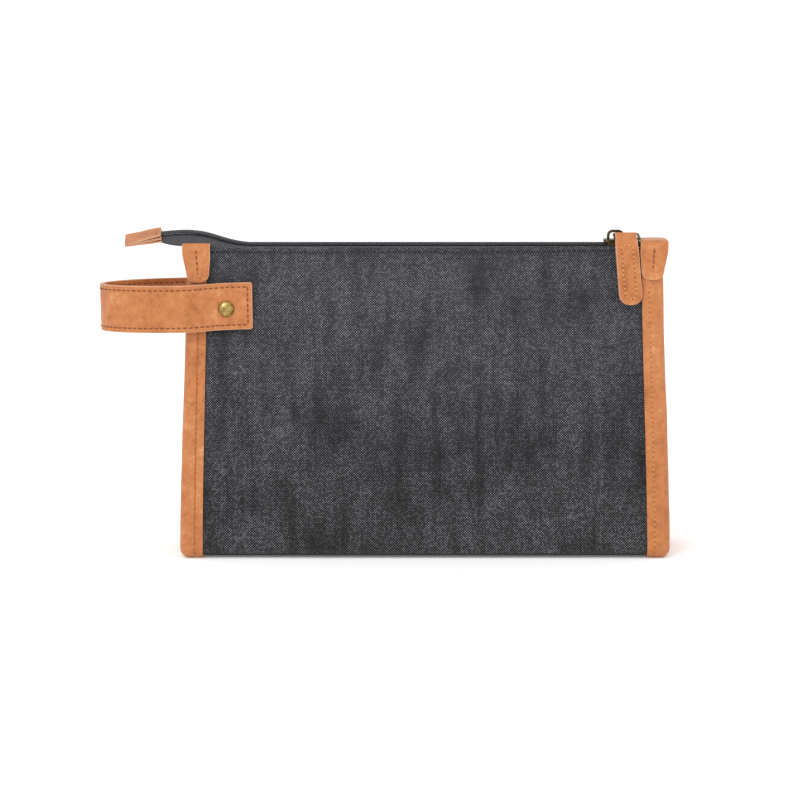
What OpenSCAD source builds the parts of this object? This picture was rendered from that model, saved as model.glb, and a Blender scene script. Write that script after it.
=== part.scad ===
/* [Body] */
// Width over the two leather ends
body_w = 254; // [200:1:320]
// Height of the canvas top edge above the ground
body_h = 161.5; // [130:0.5:200]
// Depth across the canvas at its foot, measured as if the bottom edges were sharp
base_d = 62; // [54:1:80]
// Depth across the canvas at its top edge
top_d = 17; // [16:0.5:22]
// Radius of the rounded bottom edges of the canvas
corner_r = 9; // [6:0.5:11]
// How far each panel turns in under the bag
turn_under = 12; // [6:1:16]

/* [Cloth and leather] */
// Thickness of the waxed canvas
canvas_t = 1.2; // [0.8:0.1:1.6]
// Thickness of the gusset and tab leather
leather_t = 1.2; // [0.8:0.1:1.6]
// Thickness of the lining
lining_t = 0.6; // [0.4:0.1:1]
// Thickness of the board that stiffens the base
board_t = 1.6; // [1:0.1:3]
// Play between layers that are sewn together
layer_gap = 0.05; // [0.02:0.01:0.1]
// Width of the gusset flange that laps over the canvas
flange_w = 11.5; // [8:0.5:16]

/* [Corner tabs] */
// Width of a corner tab at its fold
tab_w = 14; // [10:0.5:14]
// Width of a corner tab near its rounded end
tab_end_w = 11; // [8:0.5:12]
// Length of a corner tab down the front and the back
tab_len = 20.3; // [12:0.1:26]
// Height of the left tab's fold above the canvas edge
left_tab_rise = 2.5; // [2.4:0.1:2.8]
// Height of the right tab's fold above the canvas edge
right_tab_rise = 3.8; // [2.4:0.1:5]

/* [Zip] */
// Width of each row of coil
coil_w = 2.5; // [2:0.1:3]
// Height of the coil above its tape
coil_h = 1.9; // [1.4:0.1:2.4]
// Height of the coil's top above the canvas edge
coil_rise = 2; // [1.5:0.1:2.2]
// Space between the two rows for the slider's post
coil_split = 1.2; // [1:0.1:1.6]
// Thickness of the zip tape
tape_t = 0.6; // [0.4:0.1:0.8]
// Depth to which the tape is sewn in below the canvas edge
tape_depth = 12; // [8:0.5:16]
// Length of the leather end tab on the zip's tail
end_tab_len = 19.4; // [14:0.1:26]
// Width of the end tab
end_tab_w = 13; // [10:0.5:16]
// Thickness of the end tab with its layers
end_tab_t = 3.6; // [2.6:0.1:4]

/* [Slider and pull] */
// Distance from the middle of the bag to the middle of the slider when closed
slider_x = 100; // [80:0.5:100]
// Length of the slider
slider_len = 12.6; // [11:0.1:13]
// Play between the slider and the zip
slider_play = 0.3; // [0.2:0.05:0.4]
// Thickness of the slider's top plate
plate_t = 1.3; // [1:0.1:1.6]
// Length of the crown
crown_len = 9; // [8:0.1:10]
// Height of the crown above the top plate
crown_h = 4.9; // [4.6:0.1:5.4]
// Thickness of the crown
crown_t = 1.3; // [1:0.1:1.4]
// Wire diameter of the pull's loop
wire_d = 1.4; // [1.2:0.1:1.5]
// Outer width of the loop
loop_w = 14.1; // [13.5:0.1:14.1]
// Angle at which the loop leans down to the front
loop_tilt = 6; // [3:0.5:7]
// Width of the leather pull
pull_w = 12; // [11:0.5:13]
// Drop of the pull from its fold to its end
pull_drop = 37; // [28:1:45]
// Thickness of one layer of the pull
pull_layer = 1.2; // [0.8:0.1:1.3]
// Space between the pull and the canvas
pull_gap = 2.7; // [2.6:0.1:4]

/* [Handle] */
// Width of the handle strap
strap_w = 24.5; // [18:0.5:26]
// Thickness of one layer of the strap
strap_layer = 1.15; // [0.8:0.05:1.3]
// Space between the strap and the canvas at the rivet
strap_gap = 1.2; // [1.1:0.05:1.6]
// Distance from the bag's end to the rivet
rivet_in = 23.1; // [22:0.1:26]
// Height of the rivet above the ground
rivet_z = 130; // [118:0.5:130]
// Length of strap beyond the rivet
strap_end = 13.7; // [12:0.1:18]
// Reach of the loop beyond the bag's end
loop_reach = 44; // [38:0.5:55]
// Half of the depth of the loop, at the middle of the strap
loop_half = 21.5; // [21:0.1:24]
// Angle at which the loop hangs at rest
strap_tilt = 1; // [0:0.1:2]
// Diameter of a rivet's cap
cap_d = 8.6; // [7:0.1:10]
// Height of a rivet's cap
cap_h = 2.2; // [1.6:0.1:2.6]
// Diameter of a rivet's post
post_d = 3; // [2.4:0.1:4]
// Play of the post in the bag's holes
post_play = 0.05; // [0.03:0.01:0.1]

/* [Hidden] */

canvas_colour = "#46464c";
lining_colour = "#6b6862";
leather_colour = "#cf8a58";
tape_colour = "#2c2c30";
bronze_colour = "#4a3f2c";
brass_colour = "#9a8448";

end_x = body_w / 2;
foot_z = canvas_t + layer_gap;
lean = atan((base_d - top_d) / 2 / (body_h - foot_z));
arc_y = -base_d / 2 + corner_r / tan(45 - lean / 2);
arc_z = foot_z + corner_r;
reach = 2 * body_w;

// Front face of the canvas at height z, moved in by inset
function face_y(z, inset = 0) = -top_d / 2 - (body_h - z) * tan(lean) + inset / cos(lean);

// Rounded bottom edge, moved in by inset, from angle start up to the leaning face
function foot_arc(inset, start = 270) =
    [for (i = [0 : 12])
        let (a = start + (180 - lean - start) * i / 12)
        [arc_y + (corner_r - inset) * cos(a), arc_z + (corner_r - inset) * sin(a)]];

function reversed(list) = [for (i = [len(list) - 1 : -1 : 0]) list[i]];
function mirrored(list) = [for (p = reversed(list)) [-p[0], p[1]]];

// One side of the outline, from the bottom edge up to height z
function side_line(inset, z, start = 270) = concat(foot_arc(inset, start), [[face_y(z, inset), z]]);

// Whole outline across the bag, moved in by inset
function outline(inset, z) = concat(side_line(inset, z), mirrored(side_line(inset, z)));

// A strip of thickness t along a line of points, with mitred bends
function unit(v) = v / norm(v);
function left_of(v) = [-v[1], v[0]];
function joint_normal(p, i) =
    let (a = i > 0 ? unit(p[i] - p[i - 1]) : unit(p[1] - p[0]),
         b = i < len(p) - 1 ? unit(p[i + 1] - p[i]) : a,
         n = unit(left_of(a) + left_of(b)))
    n / (n * left_of(a));
function strip(p, t) = concat(
    [for (i = [0 : len(p) - 1]) p[i] + joint_normal(p, i) * t / 2],
    reversed([for (i = [0 : len(p) - 1]) p[i] - joint_normal(p, i) * t / 2]));

// Rectangle about the origin with rounded corners
function round_rect(w, h, r) =
    [for (c = [[1, 1, 0], [-1, 1, 90], [-1, -1, 180], [1, -1, 270]])
        for (i = [0 : 6])
            [c[0] * (w / 2 - r) + r * cos(c[2] + 15 * i), c[1] * (h / 2 - r) + r * sin(c[2] + 15 * i)]];

// Extrudes a YZ outline from x0 to x1
module along_x(x0, x1) {
    translate([x0, 0, 0]) rotate([90, 0, 90]) linear_extrude(x1 - x0) children();
}

// Extrudes an XZ outline through the whole depth
module through_y(depth = reach) {
    rotate([90, 0, 0]) linear_extrude(depth, center = true) children();
}

module flip_y() {
    mirror([0, 1, 0]) children();
}

module flip_x() {
    mirror([1, 0, 0]) children();
}

// ---- canvas, board and lining

seam_gap = 1;
panel_x = end_x - leather_t - seam_gap;
rivet_x = -end_x + rivet_in;
post_hole_d = post_d + 2 * post_play;

module rivet_hole() {
    translate([rivet_x, 0, rivet_z]) rotate([90, 0, 0]) cylinder(d = post_hole_d, h = base_d, $fn = 48);
}

module front_panel() {
    color(canvas_colour) difference() {
        along_x(-panel_x, panel_x) polygon(concat(
            [[arc_y + turn_under, foot_z]],
            side_line(0, body_h),
            reversed(side_line(canvas_t, body_h)),
            [[arc_y + turn_under, foot_z + canvas_t]]));
        rivet_hole();
    }
}

module back_panel() {
    flip_y() front_panel();
}

base_panel_x = end_x - flange_w - layer_gap;

module base_panel() {
    color(canvas_colour) translate([-base_panel_x, arc_y, 0]) cube([2 * base_panel_x, -2 * arc_y, canvas_t]);
}

board_z = foot_z + canvas_t + layer_gap;
board_in = 2;
board_x = panel_x - board_in;

module base_board() {
    color("#8a7a60") translate([-board_x, arc_y, board_z]) cube([2 * board_x, -2 * arc_y, board_t]);
}

lining_in = canvas_t + tape_t + 2 * layer_gap;
lining_x = panel_x - lining_t - layer_gap;
lining_z = board_z + board_t + layer_gap;
lining_wall_z = lining_z + lining_t + layer_gap;
lining_drop = 4;
lining_top = body_h - lining_drop;
lining_start = 270 - acos((arc_z - lining_wall_z) / (corner_r - lining_in - lining_t));

module lining_front() {
    color(lining_colour) difference() {
        along_x(-lining_x, lining_x) polygon(concat(
            side_line(lining_in, lining_top, lining_start),
            reversed(side_line(lining_in + lining_t, lining_top, lining_start))));
        rivet_hole();
    }
}

module lining_back() {
    flip_y() lining_front();
}

module lining_base() {
    color(lining_colour) translate([-lining_x, arc_y, lining_z]) cube([2 * lining_x, -2 * arc_y, lining_t]);
}

module lining_left() {
    color(lining_colour) intersection() {
        along_x(-lining_x - lining_t - layer_gap, -lining_x - layer_gap)
            polygon(outline(lining_in, lining_top));
        translate([-reach / 2, -reach / 2, lining_z]) cube(reach);
    }
}

module lining_right() {
    flip_x() lining_left();
}

// ---- leather ends

flange_in = -(leather_t + layer_gap);

module left_gusset() {
    color(leather_colour) difference() {
        along_x(-end_x, -end_x + flange_w) polygon(outline(flange_in, body_h));
        along_x(-end_x + leather_t, 0) polygon(outline(-layer_gap, body_h + leather_t));
    }
}

module right_gusset() {
    flip_x() left_gusset();
}

tab_in = flange_in - leather_t - layer_gap;
tab_fold_r = 2.4;
tab_end_r = 4;
tab_straight = 8.8;

// Outline of a tab's band over the top, moved in by inset
function tab_line(inset, top, bottom) =
    let (cz = top - tab_fold_r, cy = face_y(cz, tab_in + tab_fold_r), r = tab_fold_r - inset)
    concat([[face_y(bottom, tab_in + inset), bottom]],
        [for (i = [0 : 6])
            let (a = 180 - lean - (90 - lean) * i / 6)
            [cy + r * cos(a), cz + r * sin(a)]]);

module tab_front_outline(top, bottom) {
    half = tab_w / 2;
    end = tab_end_w / 2;
    polygon(concat(
        [[half, top + 1], [half, top - tab_straight]],
        [for (i = [0 : 6])
            [end - tab_end_r * (1 - cos(15 * i)), bottom + tab_end_r * (1 - sin(15 * i))]],
        [for (i = [6 : -1 : 0])
            [-end + tab_end_r * (1 - cos(15 * i)), bottom + tab_end_r * (1 - sin(15 * i))]],
        [[-half, top - tab_straight], [-half, top + 1]]));
}

module corner_tab(top) {
    bottom = top - tab_len;
    color(leather_colour) intersection() {
        along_x(-end_x, -end_x + tab_w) {
            outer = tab_line(0, top, bottom);
            inner = tab_line(leather_t, top, bottom);
            polygon(concat(outer, mirrored(outer), reversed(mirrored(inner)), reversed(inner)));
        }
        translate([-end_x + tab_w / 2, 0, 0]) through_y() tab_front_outline(top, bottom);
    }
}

module left_corner_tab() {
    corner_tab(body_h + left_tab_rise);
}

module right_corner_tab() {
    flip_x() corner_tab(body_h + right_tab_rise);
}

// ---- zip

coil_top = body_h + coil_rise;
coil_z = coil_top - coil_h;
tape_margin = 2.5;
tape_flat = coil_split / 2 + coil_w + tape_margin;
tail_start = 32;
mouth_x = end_x - tail_start;
zip_end_in = 3;
zip_end_x = panel_x - zip_end_in;
tape_in = canvas_t + layer_gap + tape_t / 2;
tape_turn = 1;
tape_turn_z = body_h - tape_turn;

// Stations of the tail: distance in from the left end, rise, drop of the tape's edge, half spread
tail = [[tail_start, 0, 0, 0], [22, 2.2, 0.3, 0], [14.5, 5, 1.4, 0], [7, 6.3, 3, 0.2],
    [-0.5, 6.4, 3.2, 0.4], [-6, 6, 4.6, 1], [-12, 5.2, 4, 2]];

// How far the tail of the tape starts inside the straight tape, and how much slimmer it is all round
tail_lap = 0.5;
tail_slim = 0.03;

// Solid through a row of four-cornered rings, with opposite walls split along matching diagonals
module ring_body(rings) {
    walls = [for (i = [0 : len(rings) - 2]) for (k = [0 : 3])
        let (a = 4 * i + k, b = 4 * i + (k + 1) % 4)
        each k > 1 ? [[a, b, a + 4], [b, b + 4, a + 4]] : [[a, b, b + 4], [a, b + 4, a + 4]]];
    last = 4 * (len(rings) - 1);
    polyhedron([for (ring = rings) each ring],
        concat([[3, 2, 1, 0]], walls, [[last, last + 1, last + 2, last + 3]]));
}

// Section of the front tape and of the front coil at a station of the tail
function tape_ring(s) =
    let (x = -end_x + s[0], z = coil_z + s[1] - tail_slim, t = tape_t - 2 * tail_slim,
         inner = -coil_split / 2 - tail_slim, edge = -tape_flat + tail_slim + s[3])
    [[x, inner, z], [x, edge, z - s[2]], [x, edge, z - s[2] - t], [x, inner, z - t]];
function coil_ring(s) =
    let (x = -end_x + s[0], z = coil_z + s[1], inner = -coil_split / 2, outer = inner - coil_w)
    [[x, inner, z + coil_h], [x, outer, z + coil_h], [x, outer, z], [x, inner, z]];

module zip_tape_front() {
    color(tape_colour) {
        along_x(-mouth_x, zip_end_x) polygon(strip([
            [-coil_split / 2, coil_z - tape_t / 2],
            [-tape_flat, coil_z - tape_t / 2],
            [face_y(tape_turn_z, tape_in), tape_turn_z],
            [face_y(body_h - tape_depth, tape_in), body_h - tape_depth]], tape_t));
        ring_body([for (s = concat([[tail_start + tail_lap, 0, 0, 0]], tail)) tape_ring(s)]);
    }
}

module zip_tape_back() {
    flip_y() zip_tape_front();
}

module zip_coil_front() {
    color(tape_colour) ring_body([for (s = concat([[end_x + zip_end_x, 0, 0, 0]], tail)) coil_ring(s)]);
}

module zip_coil_back() {
    flip_y() zip_coil_front();
}

stop_len = 2.2;
stop_x = slider_x + slider_len / 2 + slider_play;
stop_t = 0.5;

module zip_top_stops() {
    color(bronze_colour) for (side = [-1, 1])
        translate([stop_x, side * (coil_split + coil_w) / 2 - coil_w / 2, coil_top])
            cube([stop_len, coil_w, stop_t]);
}

end_tab_tilt = 15;
end_tab_slope = -10;
end_tab_lap = 0.6;

module zip_end_tab() {
    last = tail[len(tail) - 1];
    color(leather_colour)
        translate([-end_x + last[0] - end_tab_lap, 0, coil_z + last[1]])
            rotate([end_tab_tilt, end_tab_slope, 0])
                translate([-end_tab_len, -end_tab_w / 2, -end_tab_t / 2])
                    cube([end_tab_len, end_tab_w, end_tab_t]);
}

// ---- slider and pull

slider_lip = 1.4;
slider_half = coil_split / 2 + coil_w + slider_play + slider_lip;
slider_corner_r = 2;
slider_post_x = 1.5;
slider_post_len = 3.5;
lower_plate_t = 0.9;
lower_plate_z = coil_z - tape_t - slider_play - lower_plate_t;
top_plate_z = coil_top + slider_play;
crown_z = top_plate_z + plate_t;
crown_half = 1.2;
crown_corner_r = 3;
post_half = coil_split / 2 - slider_play;

module slider() {
    color(bronze_colour) translate([slider_x, 0, 0]) {
        translate([0, 0, lower_plate_z]) linear_extrude(lower_plate_t)
            polygon(round_rect(slider_len, 2 * slider_half, slider_corner_r));
        translate([0, 0, top_plate_z]) linear_extrude(plate_t)
            polygon(round_rect(slider_len, 2 * slider_half, slider_corner_r));
        for (side = [-1, 1])
            translate([-slider_len / 2 + slider_corner_r,
                    side * (slider_half - slider_lip / 2) - slider_lip / 2, coil_z + slider_play])
                cube([slider_len - 2 * slider_corner_r, slider_lip, top_plate_z - coil_z - slider_play]);
        translate([slider_post_x, -post_half, lower_plate_z + lower_plate_t])
            cube([slider_post_len, 2 * post_half, top_plate_z - lower_plate_z - lower_plate_t]);
        translate([0, 0, crown_z]) through_y(2 * crown_half) difference() {
            intersection() {
                polygon(round_rect(crown_len, 2 * crown_h, crown_corner_r));
                translate([-crown_len / 2, 0]) square([crown_len, crown_h]);
            }
            intersection() {
                polygon(round_rect(crown_len - 2 * crown_t, 2 * (crown_h - crown_t), crown_corner_r - crown_t));
                translate([-crown_len / 2, 0]) square([crown_len, crown_h]);
            }
        }
    }
}

loop_mid = loop_w - wire_d;
loop_shift = 0.75;
loop_left_x = slider_x - loop_shift;
loop_mid_x = loop_left_x + loop_mid / 2;
loop_front = 9.6;
loop_back = 4;
loop_lift = 0.2;
loop_z = crown_z + (crown_h - crown_t) / 2 + loop_lift;
front_corner_r = 1.2;
back_corner_r = 2.4;

module wire_corner(x, y, r, turn) {
    translate([x, y, 0]) rotate([0, 0, turn]) rotate_extrude(angle = 90, $fn = 48)
        translate([r, 0]) circle(d = wire_d, $fn = 32);
}

module wire_bar(x, y, length, turn) {
    translate([x, y, 0]) rotate([0, 90, turn]) cylinder(d = wire_d, h = length, $fn = 32);
}

module pull_loop() {
    half = loop_mid / 2;
    depth = loop_front + loop_back;
    color(bronze_colour) translate([loop_mid_x, 0, loop_z]) rotate([loop_tilt, 0, 0]) {
        wire_corner(half - front_corner_r, -loop_front + front_corner_r, front_corner_r, 270);
        wire_corner(-half + front_corner_r, -loop_front + front_corner_r, front_corner_r, 180);
        wire_corner(half - back_corner_r, loop_back - back_corner_r, back_corner_r, 0);
        wire_corner(-half + back_corner_r, loop_back - back_corner_r, back_corner_r, 90);
        wire_bar(-half + front_corner_r, -loop_front, loop_mid - 2 * front_corner_r, 0);
        wire_bar(-half + back_corner_r, loop_back, loop_mid - 2 * back_corner_r, 0);
        for (side = [-1, 1])
            wire_bar(side * half, -loop_front + front_corner_r, depth - front_corner_r - back_corner_r, 90);
    }
}

bar_y = -loop_front * cos(loop_tilt);
bar_z = loop_z - loop_front * sin(loop_tilt);
eye_play = 0.15;
eye_r = wire_d / 2 + eye_play;
fold_r = eye_r + pull_layer;
fold_w = loop_mid - wire_d - 2 * eye_play;
pull_t = 2 * pull_layer;
pull_end_z = bar_z + fold_r - pull_drop;
pull_knee_drop = 0.5;
pull_knee_z = body_h - pull_knee_drop;
pull_flare = 0.6;
pull_end_r = 5.2;

function pull_y(z, gap) = face_y(z) - gap - pull_t / 2;

module bar_cylinder(r) {
    translate([loop_mid_x, bar_y, bar_z]) rotate([0, 90, 0])
        cylinder(r = r, h = 3 * pull_w, center = true, $fn = 48);
}

module leather_pull() {
    color(leather_colour) intersection() {
        difference() {
            union() {
                bar_cylinder(fold_r);
                along_x(loop_mid_x - pull_w, loop_mid_x + pull_w) polygon(strip([
                    [bar_y, bar_z],
                    [pull_y(pull_knee_z, pull_gap), pull_knee_z],
                    [pull_y(pull_end_z, pull_gap + pull_flare), pull_end_z]], pull_t));
            }
            bar_cylinder(eye_r);
        }
        translate([loop_mid_x, 0, 0]) through_y() {
            translate([-fold_w / 2, pull_knee_z - pull_layer]) square([fold_w, pull_drop]);
            intersection() {
                translate([0, (pull_knee_z + pull_end_z) / 2 + pull_end_r])
                    polygon(round_rect(pull_w, pull_knee_z - pull_end_z + 2 * pull_end_r, pull_end_r));
                translate([-pull_w, pull_end_z]) square([2 * pull_w, pull_knee_z - pull_end_z]);
            }
        }
    }
}

// ---- handle

strap_t = 2 * strap_layer + layer_gap;
strap_y = -face_y(rivet_z) + (strap_gap + strap_t / 2) / cos(lean);
bend_start = 1.1;
bend_x = rivet_x - bend_start;
bow_start = 1;
bow_x = -end_x - bow_start;
loop_x = -end_x - loop_reach + strap_t / 2;
bend_steps = 12;
loop_steps = 14;

function ease(t) = t * t * (3 - 2 * t);

// Middle line of the front half of the strap: x, depth in front of the bag's middle, lean
strap_half = concat(
    [[rivet_x + strap_end, strap_y, lean]],
    [for (i = [0 : bend_steps])
        let (t = i / bend_steps)
        [bend_x + (bow_x - bend_x) * t, strap_y + (loop_half - strap_y) * ease(t), lean * (1 - ease(t))]],
    [for (i = [1 : loop_steps])
        let (u = 90 * i / loop_steps)
        [bow_x + (loop_x - bow_x) * sin(u), loop_half * cos(u), 0]]);
strap_line = concat(
    [for (p = strap_half) [p[0], -p[1], p[2]]],
    [for (p = reversed([for (i = [0 : len(strap_half) - 2]) strap_half[i]])) [p[0], p[1], p[2]]]);

// Outward direction of the strap at station i
function strap_out(i) =
    let (a = strap_line[max(i - 1, 0)], b = strap_line[min(i + 1, len(strap_line) - 1)],
         along = unit([b[0] - a[0], b[1] - a[1]]))
    [-along[1], along[0]];

// Four corners of one layer at station i, between the offsets near and far from the middle line
function strap_ring(i, near, far) =
    let (p = strap_line[i], n = strap_out(i), lean_in = p[2],
         out = [n[0] * cos(lean_in), n[1] * cos(lean_in), sin(lean_in)],
         up = [-n[0] * sin(lean_in), -n[1] * sin(lean_in), cos(lean_in)],
         mid = [p[0], p[1], 0])
    [mid + out * far - up * strap_w / 2, mid + out * near - up * strap_w / 2,
     mid + out * near + up * strap_w / 2, mid + out * far + up * strap_w / 2];

cap_y = -strap_y - (strap_t / 2 + layer_gap) / cos(lean);

// Room that the two caps press into the strap
module cap_seats() {
    for (side = [0, 1])
        mirror([0, side, 0]) translate([rivet_x, cap_y, rivet_z]) rotate([90 - lean, 0, 0])
            cylinder(d = cap_d + layer_gap, h = cap_h, $fn = 64);
}

module strap_layer_body(near, far) {
    color(leather_colour) difference() {
        translate([rivet_x, 0, rivet_z]) rotate([0, -strap_tilt, 0]) translate([-rivet_x, 0, 0])
            ring_body([for (i = [0 : len(strap_line) - 1]) strap_ring(i, near, far)]);
        translate([rivet_x, 0, rivet_z]) rotate([90, 0, 0])
            cylinder(d = post_d, h = base_d, center = true, $fn = 48);
    }
}

module handle_outer() {
    color(leather_colour) difference() {
        strap_layer_body(layer_gap / 2, layer_gap / 2 + strap_layer);
        cap_seats();
    }
}

module handle_inner() {
    strap_layer_body(-layer_gap / 2 - strap_layer, -layer_gap / 2);
}

socket_depth = 1;
head_t = 1;
head_gap = 0.4;
head_y = face_y(rivet_z, lining_in + lining_t) + cap_d / 2 * tan(lean) + head_gap;

module front_rivet_cap() {
    dome_r = (cap_d * cap_d / 4 + cap_h * cap_h) / (2 * cap_h);
    color(brass_colour) difference() {
        translate([rivet_x, cap_y, rivet_z]) rotate([90 - lean, 0, 0]) rotate_extrude($fn = 64)
            intersection() {
                translate([0, cap_h - dome_r]) circle(dome_r, $fn = 96);
                square([cap_d / 2, cap_h]);
            }
        translate([rivet_x, cap_y - socket_depth, rivet_z]) rotate([-90, 0, 0])
            cylinder(d = post_d, h = 2 * socket_depth, $fn = 48);
    }
}

module front_rivet_post() {
    color(brass_colour) {
        translate([rivet_x, cap_y - socket_depth, rivet_z]) rotate([-90, 0, 0])
            cylinder(d = post_d, h = head_y + head_t - cap_y + socket_depth, $fn = 48);
        translate([rivet_x, head_y, rivet_z]) rotate([-90, 0, 0]) cylinder(d = cap_d, h = head_t, $fn = 48);
    }
}

module back_rivet_cap() {
    flip_y() front_rivet_cap();
}

module back_rivet_post() {
    flip_y() front_rivet_post();
}

front_panel();
back_panel();
base_panel();
base_board();
lining_front();
lining_back();
lining_base();
lining_left();
lining_right();
left_gusset();
right_gusset();
left_corner_tab();
right_corner_tab();
zip_tape_front();
zip_tape_back();
zip_coil_front();
zip_coil_back();
zip_top_stops();
zip_end_tab();
slider();
pull_loop();
leather_pull();
handle_outer();
handle_inner();
front_rivet_cap();
front_rivet_post();
back_rivet_cap();
back_rivet_post();
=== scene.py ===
import bmesh
import bpy
import math
from mathutils import Matrix, Vector, noise


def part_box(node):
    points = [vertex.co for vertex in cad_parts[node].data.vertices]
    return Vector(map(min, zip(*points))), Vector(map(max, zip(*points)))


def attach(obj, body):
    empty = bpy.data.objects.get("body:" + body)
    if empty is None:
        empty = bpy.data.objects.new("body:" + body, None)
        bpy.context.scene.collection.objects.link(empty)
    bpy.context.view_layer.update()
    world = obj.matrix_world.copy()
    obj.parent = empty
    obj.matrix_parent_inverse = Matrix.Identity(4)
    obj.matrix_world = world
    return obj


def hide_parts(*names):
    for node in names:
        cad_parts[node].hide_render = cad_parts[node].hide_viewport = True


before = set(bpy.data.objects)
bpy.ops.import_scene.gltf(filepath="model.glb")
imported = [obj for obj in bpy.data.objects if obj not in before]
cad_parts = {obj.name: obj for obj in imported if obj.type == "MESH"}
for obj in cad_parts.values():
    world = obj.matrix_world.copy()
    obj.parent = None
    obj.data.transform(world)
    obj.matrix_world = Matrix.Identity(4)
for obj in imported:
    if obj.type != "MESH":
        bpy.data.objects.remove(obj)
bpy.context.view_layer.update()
mm = 0.001
print("frame loaded")

# camera, floor and light

viewpoint = {
    "target": (-0.0132, 0.0, 0.0796),
    "distance": 1.5,
    "elevation": 8.3,  # degrees above the horizon
    "lens": 127.4,
}
studio = {
    "floorSize": 40.0,
    "floorColour": (0.93, 0.93, 0.93, 1),
    "floorGlow": 0.12,
    "skyStrength": 1.05,
    "keyPower": 17.0,
    "keyPlace": (-0.7, -1.5, 1.7),
    "keySize": 1.1,
    "fillPower": 3.0,
    "fillPlace": (1.5, -1.4, 0.9),
    "fillSize": 1.8,
}


def aimAt(thing, place, target):
    thing.location = place
    thing.rotation_euler = (Vector(target) - Vector(place)).to_track_quat("-Z", "Y").to_euler()


def addCamera():
    rise = math.radians(viewpoint["elevation"])
    away = Vector((0, -math.cos(rise), math.sin(rise))) * viewpoint["distance"]
    bpy.ops.object.camera_add()
    camera = bpy.context.object
    aimAt(camera, Vector(viewpoint["target"]) + away, viewpoint["target"])
    camera.data.lens = viewpoint["lens"]
    camera.data.clip_end = 100
    bpy.context.scene.camera = camera


def addSoftLight(power, place, size):
    bpy.ops.object.light_add(type="AREA")
    light = bpy.context.object
    light.data.shape = "DISK"
    light.data.size = size
    light.data.energy = power
    aimAt(light, place, viewpoint["target"])


def addStudio():
    bpy.ops.mesh.primitive_plane_add(size=studio["floorSize"])
    floor = bpy.context.object
    floor.name = "floor"
    paper = bpy.data.materials.new("floorPaper")
    paper.use_nodes = True
    surface = paper.node_tree.nodes["Principled BSDF"]
    surface.inputs["Base Color"].default_value = studio["floorColour"]
    surface.inputs["Roughness"].default_value = 0.9
    surface.inputs["Emission Color"].default_value = (1, 1, 1, 1)
    surface.inputs["Emission Strength"].default_value = studio["floorGlow"]
    floor.data.materials.append(paper)
    world = bpy.data.worlds.new("softWhite")
    world.use_nodes = True
    sky = world.node_tree.nodes["Background"]
    sky.inputs["Color"].default_value = (1, 1, 1, 1)
    sky.inputs["Strength"].default_value = studio["skyStrength"]
    bpy.context.scene.world = world
    bpy.context.scene.view_settings.view_transform = "Standard"
    addSoftLight(studio["keyPower"], studio["keyPlace"], studio["keySize"])
    addSoftLight(studio["fillPower"], studio["fillPlace"], studio["fillSize"])


addCamera()
addStudio()
print("camera and studio ready")

# shader maths


class Wire:
    def __init__(self, finish, socket):
        self.finish = finish
        self.socket = socket

    def join(self, kind, first, second):
        return self.finish.node("ShaderNodeMath", {"operation": kind}, {0: first, 1: second})

    def __add__(self, other):
        return self.join("ADD", self, other)

    def __radd__(self, other):
        return self.join("ADD", other, self)

    def __sub__(self, other):
        return self.join("SUBTRACT", self, other)

    def __rsub__(self, other):
        return self.join("SUBTRACT", other, self)

    def __mul__(self, other):
        return self.join("MULTIPLY", self, other)


class Finish:
    def __init__(self, name, **fixed):
        self.material = bpy.data.materials.new(name)
        self.material.use_nodes = True
        self.tree = self.material.node_tree
        self.surface = self.tree.nodes["Principled BSDF"]
        self.coords = self.node("ShaderNodeTexCoord", output="Object")
        for socket, value in fixed.items():
            self.surface.inputs[socket.replace("_", " ")].default_value = value

    def node(self, kind, settings={}, inputs={}, output=0):
        made = self.tree.nodes.new(kind)
        for key, value in settings.items():
            setattr(made, key, value)
        for key, value in inputs.items():
            if isinstance(value, Wire):
                self.tree.links.new(value.socket, made.inputs[key])
            else:
                made.inputs[key].default_value = value
        return Wire(self, made.outputs[output])

    def noise(self, size, detail=3, roughness=0.55, vector=None):
        inputs = {"Vector": vector or self.coords, "Scale": 1 / (size * mm), "Detail": detail,
                  "Roughness": roughness}
        return self.node("ShaderNodeTexNoise", {}, inputs)

    def ramp(self, value, low, high):
        inputs = {"Value": value, "From Min": low, "From Max": high}
        return self.node("ShaderNodeMapRange", {"interpolation_type": "SMOOTHSTEP"}, inputs)

    def tint(self, first, second, factor):
        return self.node("ShaderNodeMix", {"data_type": "RGBA"}, {0: factor, 6: first, 7: second}, 2)

    def sine(self, value):
        return self.node("ShaderNodeMath", {"operation": "SINE"}, {0: value})

    def floor(self, value):
        return self.node("ShaderNodeMath", {"operation": "FLOOR"}, {0: value})

    def split(self, vector, axis):
        return self.node("ShaderNodeSeparateXYZ", {}, {0: vector}, axis)

    def pair(self, first, second):
        return self.node("ShaderNodeCombineXYZ", {}, {0: first, 1: second})

    def attribute(self, name):
        return self.node("ShaderNodeAttribute", {"attribute_name": name}, {}, "Fac")

    def show(self, colour=None, roughness=None, height=None, depth=0.3, strength=1):
        if colour:
            self.tree.links.new(colour.socket, self.surface.inputs["Base Color"])
        if roughness:
            self.tree.links.new(roughness.socket, self.surface.inputs["Roughness"])
        if height:
            inputs = {"Strength": strength, "Distance": depth * mm, "Height": height}
            bump = self.node("ShaderNodeBump", {}, inputs, "Normal")
            self.tree.links.new(bump.socket, self.surface.inputs["Normal"])
        return self.material


# finishes

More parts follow.
